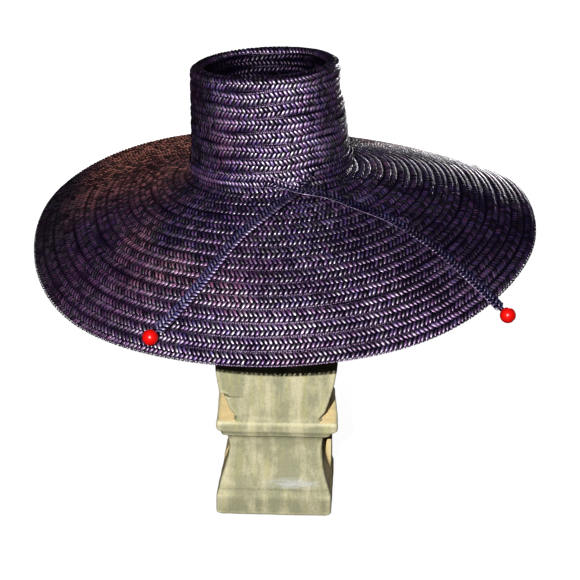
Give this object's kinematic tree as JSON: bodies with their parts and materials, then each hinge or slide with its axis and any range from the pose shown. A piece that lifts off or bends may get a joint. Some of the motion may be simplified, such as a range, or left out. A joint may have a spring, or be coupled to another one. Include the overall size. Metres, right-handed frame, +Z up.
{
  "type": "wide-brim straw hat on a pedestal stand",
  "caption": "Tall-crowned, very wide-brimmed hat of sewn straw plait, its band crossing into two beaded ties over the drooping brim, standing on a cast stone pedestal.",
  "frame": {"origin": "Middle of the flat foot of the pedestal, on the floor.", "axes": "+Z up. The picture's front faces -Y and +X is on the viewer's right. The hat is turned 10 degrees on the stand, so its own front, where the band crosses, faces a little to +X, and it leans 3.5 degrees to -X."},
  "size_m": [0.5132, 0.5225, 0.4789],
  "materials": {
    "crown_side": "dyed straw plait, glossy strokes",
    "crown_tip": "dyed straw plait, glossy strokes",
    "brim_inner": "dyed straw plait, glossy strokes",
    "brim_outer": "dyed straw plait, glossy strokes",
    "hat_band": "dyed straw plait strip",
    "tie_right": "dyed straw plait strip",
    "tie_left": "dyed straw plait strip",
    "bead_right": "glossy red",
    "bead_left": "glossy red",
    "pedestal": "weathered cast stone, cream with grey-green streaks",
    "hat_post": "plain turned post"
  },
  "bodies": {
    "root": {"crown_side": "crown_side", "crown_tip": "crown_tip", "brim_inner": "brim_inner", "brim_outer": "brim_outer", "hat_band": "hat_band", "tie_right": "tie_right", "tie_left": "tie_left", "bead_right": "bead_right", "bead_left": "bead_left", "pedestal": "pedestal", "hat_post": "hat_post"}
  },
  "joints": []
}
